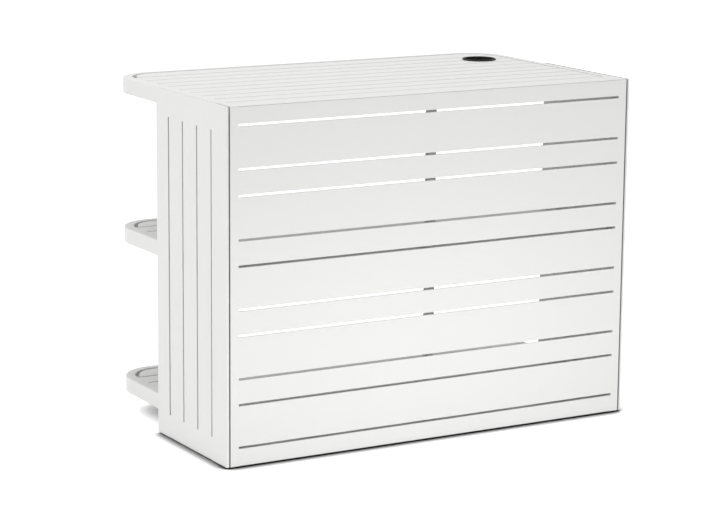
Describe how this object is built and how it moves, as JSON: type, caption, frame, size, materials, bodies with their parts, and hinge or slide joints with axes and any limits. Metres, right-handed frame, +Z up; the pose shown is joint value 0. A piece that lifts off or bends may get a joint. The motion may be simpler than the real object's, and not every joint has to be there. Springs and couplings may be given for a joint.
{
  "type": "modular bar counter",
  "caption": "Slatted outdoor bar counter with front and end panels, a top with a waste chute, open shelves behind and levelling feet.",
  "frame": {"origin": "on the floor under the middle of the counter's outline", "axes": "+X to the right as seen from the front, +Y from the front panel to the open back, +Z up"},
  "size_m": [1.412, 0.826, 1.0745],
  "materials": {
    "white_coat": "satin white powder coat on aluminium",
    "inner_coat": "satin off-white powder coat on aluminium",
    "black_plastic": "matte black",
    "zinc_steel": "satin zinc plating"
  },
  "bodies": {
    "counter": {"front_left_stile": "white_coat", "front_right_stile": "white_coat", "front_top_rail": "white_coat", "front_bottom_rail": "white_coat", "front_wide_slat_1": "white_coat", "front_wide_slat_2": "white_coat", "front_wide_slat_3": "white_coat", "front_wide_slat_4": "white_coat", "front_wide_slat_5": "white_coat", "front_narrow_slat_1": "white_coat", "front_narrow_slat_2": "white_coat", "front_narrow_slat_3": "white_coat", "front_narrow_slat_4": "white_coat", "front_middle_post": "inner_coat", "front_post_spacers": "inner_coat", "front_left_post": "inner_coat", "front_right_post": "inner_coat", "left_end_front_stile": "white_coat", "left_end_rear_stile": "white_coat", "left_end_top_rail": "white_coat", "left_end_bottom_rail": "white_coat", "left_end_slats": "white_coat", "right_end_front_stile": "white_coat", "right_end_rear_stile": "white_coat", "right_end_top_rail": "white_coat", "right_end_bottom_rail": "white_coat", "right_end_slats": "white_coat", "top_front_rail": "white_coat", "top_side_rails": "white_coat", "top_rear_rail": "white_coat", "top_slats": "white_coat", "top_chute_slats": "white_coat", "top_bearers": "inner_coat", "chute_ring": "black_plastic", "chute_backing_plate": "zinc_steel", "chute_ring_nut": "black_plastic", "middle_shelf_front_rail": "white_coat", "middle_shelf_side_rails": "white_coat", "middle_shelf_rear_rail": "white_coat", "middle_shelf_slats": "white_coat", "middle_shelf_bearers": "inner_coat", "bottom_shelf_front_rail": "white_coat", "bottom_shelf_side_rails": "white_coat", "bottom_shelf_rear_rail": "white_coat", "bottom_shelf_slats": "white_coat", "bottom_shelf_bearers": "inner_coat", "left_slab_angles": "inner_coat", "right_slab_angles": "inner_coat", "machine_screws": "zinc_steel", "lock_nuts": "zinc_steel", "foot_plugs": "black_plastic", "rear_legs": "inner_coat"},
    "left_front_glide": {"left_front_pad": "black_plastic", "left_front_stud": "zinc_steel"},
    "right_front_glide": {"right_front_pad": "black_plastic", "right_front_stud": "zinc_steel"},
    "left_rear_glide": {"left_rear_pad": "black_plastic", "left_rear_stud": "zinc_steel"},
    "right_rear_glide": {"right_rear_pad": "black_plastic", "right_rear_stud": "zinc_steel"}
  },
  "joints": [
    {"name": "left_front_foot_height", "type": "slide", "parent": "counter", "child": "left_front_glide", "axis": [0, 0, -1], "range_m": [0, 0.015]},
    {"name": "right_front_foot_height", "type": "slide", "parent": "counter", "child": "right_front_glide", "axis": [0, 0, -1], "range_m": [0, 0.015]},
    {"name": "left_rear_foot_height", "type": "slide", "parent": "counter", "child": "left_rear_glide", "axis": [0, 0, -1], "range_m": [0, 0.015]},
    {"name": "right_rear_foot_height", "type": "slide", "parent": "counter", "child": "right_rear_glide", "axis": [0, 0, -1], "range_m": [0, 0.015]}
  ]
}
